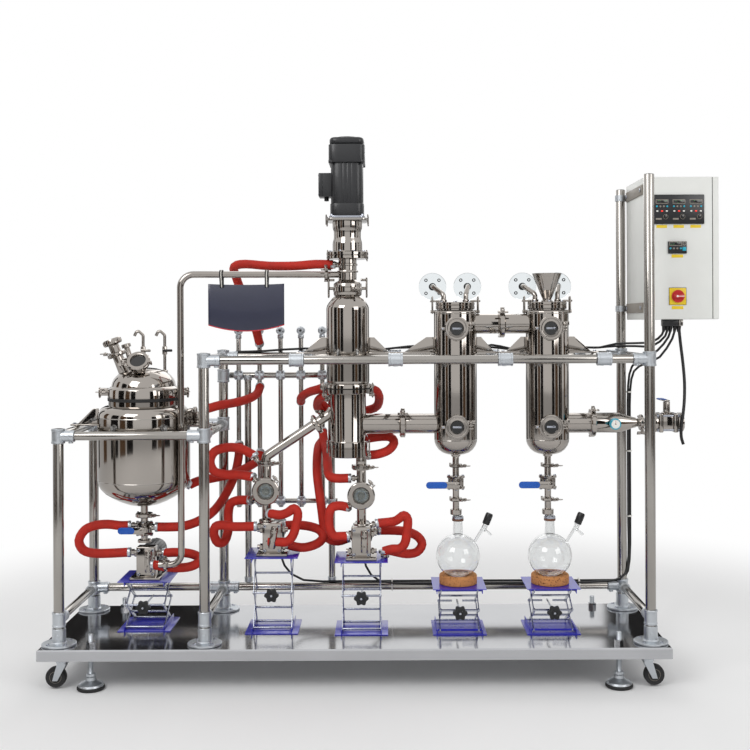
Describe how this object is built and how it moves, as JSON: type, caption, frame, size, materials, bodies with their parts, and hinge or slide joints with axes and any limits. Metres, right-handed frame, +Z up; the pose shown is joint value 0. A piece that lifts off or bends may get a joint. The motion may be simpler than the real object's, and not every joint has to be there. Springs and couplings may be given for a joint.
{
  "type": "molecular distillation unit",
  "caption": "Frame-mounted wiped-film molecular distillation unit with feed reactor, motor-driven evaporator, cold traps, glass receivers, pumps, lab jacks and control box.",
  "frame": {"origin": "on the floor under the middle of the whole unit's box", "axes": "+X along the deck towards the control box, -Y towards the front, +Z up"},
  "size_m": [2.514, 0.62, 2.0273],
  "materials": {
    "polished_steel": "polished stainless steel",
    "frame_tube": "satin stainless tube",
    "zinc_steel": "zinc plated",
    "rubber": "dark grey tread",
    "motor_black": "satin black paint",
    "lever_blue": "dipped vinyl sleeve",
    "jack_blue": "blue enamel",
    "knob_black": "moulded plastic",
    "cork": "pressed cork",
    "flask_glass": "clear borosilicate",
    "sign_navy": "printed board",
    "box_grey": "light grey powder coat",
    "switch_red": "moulded plastic"
  },
  "bodies": {
    "frame": {"base_deck": "polished_steel", "left_bay_frame": "frame_tube", "middle_frame": "frame_tube", "right_end_frame": "frame_tube", "upper_front_rail": "frame_tube", "upper_rear_rail": "frame_tube", "rear_bottom_rail": "frame_tube", "reactor_vessel": "polished_steel", "reactor_lid": "polished_steel", "evaporator_body": "polished_steel", "drive_motor": "motor_black", "cold_trap_1": "polished_steel", "cold_trap_2": "polished_steel", "feed_pump": "polished_steel", "residue_pump": "polished_steel", "distillate_pump": "polished_steel", "feed_pump_jack": "jack_blue", "residue_pump_jack": "jack_blue", "distillate_pump_jack": "jack_blue", "flask_1_jack_base": "jack_blue", "flask_2_jack_base": "jack_blue", "feed_pipe": "polished_steel", "sign_board": "sign_navy", "heating_manifold": "polished_steel", "control_box": "box_grey"},
    "foot_front_left": {"levelling_foot_front_left": "zinc_steel"},
    "foot_rear_left": {"levelling_foot_rear_left": "zinc_steel"},
    "foot_front_right": {"levelling_foot_front_right": "zinc_steel"},
    "foot_rear_right": {"levelling_foot_rear_right": "zinc_steel"},
    "caster_front_left": {"caster_fork_front_left": "zinc_steel"},
    "caster_rear_left": {"caster_fork_rear_left": "zinc_steel"},
    "caster_front_right": {"caster_fork_front_right": "zinc_steel"},
    "caster_rear_right": {"caster_fork_rear_right": "zinc_steel"},
    "wheel_front_left": {"caster_wheel_front_left": "rubber"},
    "wheel_rear_left": {"caster_wheel_rear_left": "rubber"},
    "wheel_front_right": {"caster_wheel_front_right": "rubber"},
    "wheel_rear_right": {"caster_wheel_rear_right": "rubber"},
    "reactor_lever": {"reactor_valve_lever": "lever_blue"},
    "trap_1_lever": {"trap_1_valve_lever": "lever_blue"},
    "trap_2_lever": {"trap_2_valve_lever": "lever_blue"},
    "vacuum_lever": {"vacuum_valve_lever": "lever_blue"},
    "wiper": {"wiper_rotor": "polished_steel"},
    "door": {"box_door": "box_grey"},
    "switch": {"main_switch": "switch_red"},
    "jack_1_lower_a": {"flask_1_jack_lower_arms_a": "zinc_steel"},
    "jack_1_lower_b": {"flask_1_jack_lower_arms_b": "zinc_steel"},
    "jack_1_upper_b": {"flask_1_jack_upper_arms_b": "zinc_steel"},
    "jack_1_upper_a": {"flask_1_jack_upper_arms_a": "zinc_steel"},
    "jack_1_top": {"flask_1_jack_top": "jack_blue", "cork_ring_1": "cork", "receiving_flask_1": "flask_glass"},
    "jack_1_screw": {"flask_1_jack_screw": "knob_black"},
    "jack_2_lower_a": {"flask_2_jack_lower_arms_a": "zinc_steel"},
    "jack_2_lower_b": {"flask_2_jack_lower_arms_b": "zinc_steel"},
    "jack_2_upper_b": {"flask_2_jack_upper_arms_b": "zinc_steel"},
    "jack_2_upper_a": {"flask_2_jack_upper_arms_a": "zinc_steel"},
    "jack_2_top": {"flask_2_jack_top": "jack_blue", "cork_ring_2": "cork", "receiving_flask_2": "flask_glass"},
    "jack_2_screw": {"flask_2_jack_screw": "knob_black"}
  },
  "joints": [
    {"name": "foot_front_left_screw", "type": "slide", "parent": "frame", "child": "foot_front_left", "axis": [0, 0, 1], "range_m": [-0.02, 0.01]},
    {"name": "foot_rear_left_screw", "type": "slide", "parent": "frame", "child": "foot_rear_left", "axis": [0, 0, 1], "range_m": [-0.02, 0.01]},
    {"name": "foot_front_right_screw", "type": "slide", "parent": "frame", "child": "foot_front_right", "axis": [0, 0, 1], "range_m": [-0.02, 0.01]},
    {"name": "foot_rear_right_screw", "type": "slide", "parent": "frame", "child": "foot_rear_right", "axis": [0, 0, 1], "range_m": [-0.02, 0.01]},
    {"name": "caster_front_left_swivel", "type": "hinge", "parent": "frame", "child": "caster_front_left", "pos_m": [-1.181, -0.245, 0.1011], "axis": [0, 0, 1], "continuous": true},
    {"name": "caster_rear_left_swivel", "type": "hinge", "parent": "frame", "child": "caster_rear_left", "pos_m": [-1.181, 0.245, 0.1011], "axis": [0, 0, 1], "continuous": true},
    {"name": "caster_front_right_swivel", "type": "hinge", "parent": "frame", "child": "caster_front_right", "pos_m": [0.945, -0.245, 0.1011], "axis": [0, 0, 1], "continuous": true},
    {"name": "caster_rear_right_swivel", "type": "hinge", "parent": "frame", "child": "caster_rear_right", "pos_m": [0.945, 0.245, 0.1011], "axis": [0, 0, 1], "continuous": true},
    {"name": "wheel_front_left_spin", "type": "hinge", "parent": "caster_front_left", "child": "wheel_front_left", "pos_m": [-1.203, -0.245, 0.0415], "axis": [0, 1, 0], "continuous": true},
    {"name": "wheel_rear_left_spin", "type": "hinge", "parent": "caster_rear_left", "child": "wheel_rear_left", "pos_m": [-1.203, 0.245, 0.0415], "axis": [0, 1, 0], "continuous": true},
    {"name": "wheel_front_right_spin", "type": "hinge", "parent": "caster_front_right", "child": "wheel_front_right", "pos_m": [0.967, -0.245, 0.0415], "axis": [0, 1, 0], "continuous": true},
    {"name": "wheel_rear_right_spin", "type": "hinge", "parent": "caster_rear_right", "child": "wheel_rear_right", "pos_m": [0.967, 0.245, 0.0415], "axis": [0, 1, 0], "continuous": true},
    {"name": "reactor_lever_turn", "type": "hinge", "parent": "frame", "child": "reactor_lever", "pos_m": [-0.935, -0.0444, 0.531], "axis": [0, 1, 0], "range_deg": [0, 90]},
    {"name": "trap_1_lever_turn", "type": "hinge", "parent": "frame", "child": "trap_1_lever", "pos_m": [0.264, -0.0764, 0.705], "axis": [0, 1, 0], "range_deg": [-90, 0]},
    {"name": "trap_2_lever_turn", "type": "hinge", "parent": "frame", "child": "trap_2_lever", "pos_m": [0.615, -0.0764, 0.705], "axis": [0, 1, 0], "range_deg": [-90, 0]},
    {"name": "vacuum_lever_turn", "type": "hinge", "parent": "frame", "child": "vacuum_lever", "pos_m": [1.07, -0.04, 1.0164], "axis": [0, 0, 1], "range_deg": [0, 90]},
    {"name": "wiper_spin", "type": "hinge", "parent": "frame", "child": "wiper", "pos_m": [-0.146, -0.04, 1.5643], "axis": [0, 0, 1], "continuous": true},
    {"name": "door_hinge", "type": "hinge", "parent": "frame", "child": "door", "pos_m": [1.257, -0.08, 1.5985], "axis": [0, 0, 1], "range_deg": [0, 110]},
    {"name": "switch_turn", "type": "hinge", "parent": "door", "child": "switch", "pos_m": [1.1005, -0.0954, 1.416], "axis": [0, 1, 0], "range_deg": [0, 90]},
    {"name": "jack_1_lift", "type": "hinge", "parent": "frame", "child": "jack_1_lower_a", "pos_m": [0.271, -0.11084, 0.166], "axis": [1, 0, 0], "range_deg": [-15.8, 0]},
    {"name": "jack_1_lower_cross", "type": "hinge", "parent": "jack_1_lower_a", "child": "jack_1_lower_b", "pos_m": [0.271, -0.04, 0.20318], "axis": [1, 0, 0], "range_deg": [0, 31.7]},
    {"name": "jack_1_middle_rear", "type": "hinge", "parent": "jack_1_lower_a", "child": "jack_1_upper_b", "pos_m": [0.271, 0.03084, 0.24035], "axis": [1, 0, 0], "range_deg": [0, 31.7]},
    {"name": "jack_1_upper_cross", "type": "hinge", "parent": "jack_1_upper_b", "child": "jack_1_upper_a", "pos_m": [0.271, -0.04, 0.27753], "axis": [1, 0, 0], "range_deg": [-31.7, 0]},
    {"name": "jack_1_top_front", "type": "hinge", "parent": "jack_1_upper_b", "child": "jack_1_top", "pos_m": [0.271, -0.11084, 0.3147], "axis": [1, 0, 0], "range_deg": [-15.9, 0]},
    {"name": "jack_1_screw_yoke", "type": "hinge", "parent": "jack_1_lower_b", "child": "jack_1_screw", "pos_m": [0.271, -0.11084, 0.24035], "axis": [1, 0, 0], "range_deg": [-15.9, 0]},
    {"name": "jack_2_lift", "type": "hinge", "parent": "frame", "child": "jack_2_lower_a", "pos_m": [0.622, -0.11084, 0.166], "axis": [1, 0, 0], "range_deg": [-15.8, 0]},
    {"name": "jack_2_lower_cross", "type": "hinge", "parent": "jack_2_lower_a", "child": "jack_2_lower_b", "pos_m": [0.622, -0.04, 0.20318], "axis": [1, 0, 0], "range_deg": [0, 31.7]},
    {"name": "jack_2_middle_rear", "type": "hinge", "parent": "jack_2_lower_a", "child": "jack_2_upper_b", "pos_m": [0.622, 0.03084, 0.24035], "axis": [1, 0, 0], "range_deg": [0, 31.7]},
    {"name": "jack_2_upper_cross", "type": "hinge", "parent": "jack_2_upper_b", "child": "jack_2_upper_a", "pos_m": [0.622, -0.04, 0.27753], "axis": [1, 0, 0], "range_deg": [-31.7, 0]},
    {"name": "jack_2_top_front", "type": "hinge", "parent": "jack_2_upper_b", "child": "jack_2_top", "pos_m": [0.622, -0.11084, 0.3147], "axis": [1, 0, 0], "range_deg": [-15.9, 0]},
    {"name": "jack_2_screw_yoke", "type": "hinge", "parent": "jack_2_lower_b", "child": "jack_2_screw", "pos_m": [0.622, -0.11084, 0.24035], "axis": [1, 0, 0], "range_deg": [-15.9, 0]}
  ],
  "couplings": [
    {"joint": "jack_1_lower_cross", "follows": "jack_1_lift", "ratio": -2},
    {"joint": "jack_1_middle_rear", "follows": "jack_1_lift", "ratio": -2},
    {"joint": "jack_1_upper_cross", "follows": "jack_1_lift", "ratio": 2},
    {"joint": "jack_1_top_front", "follows": "jack_1_lift", "ratio": 1},
    {"joint": "jack_1_screw_yoke", "follows": "jack_1_lift", "ratio": 1},
    {"joint": "jack_2_lower_cross", "follows": "jack_2_lift", "ratio": -2},
    {"joint": "jack_2_middle_rear", "follows": "jack_2_lift", "ratio": -2},
    {"joint": "jack_2_upper_cross", "follows": "jack_2_lift", "ratio": 2},
    {"joint": "jack_2_top_front", "follows": "jack_2_lift", "ratio": 1},
    {"joint": "jack_2_screw_yoke", "follows": "jack_2_lift", "ratio": 1}
  ]
}
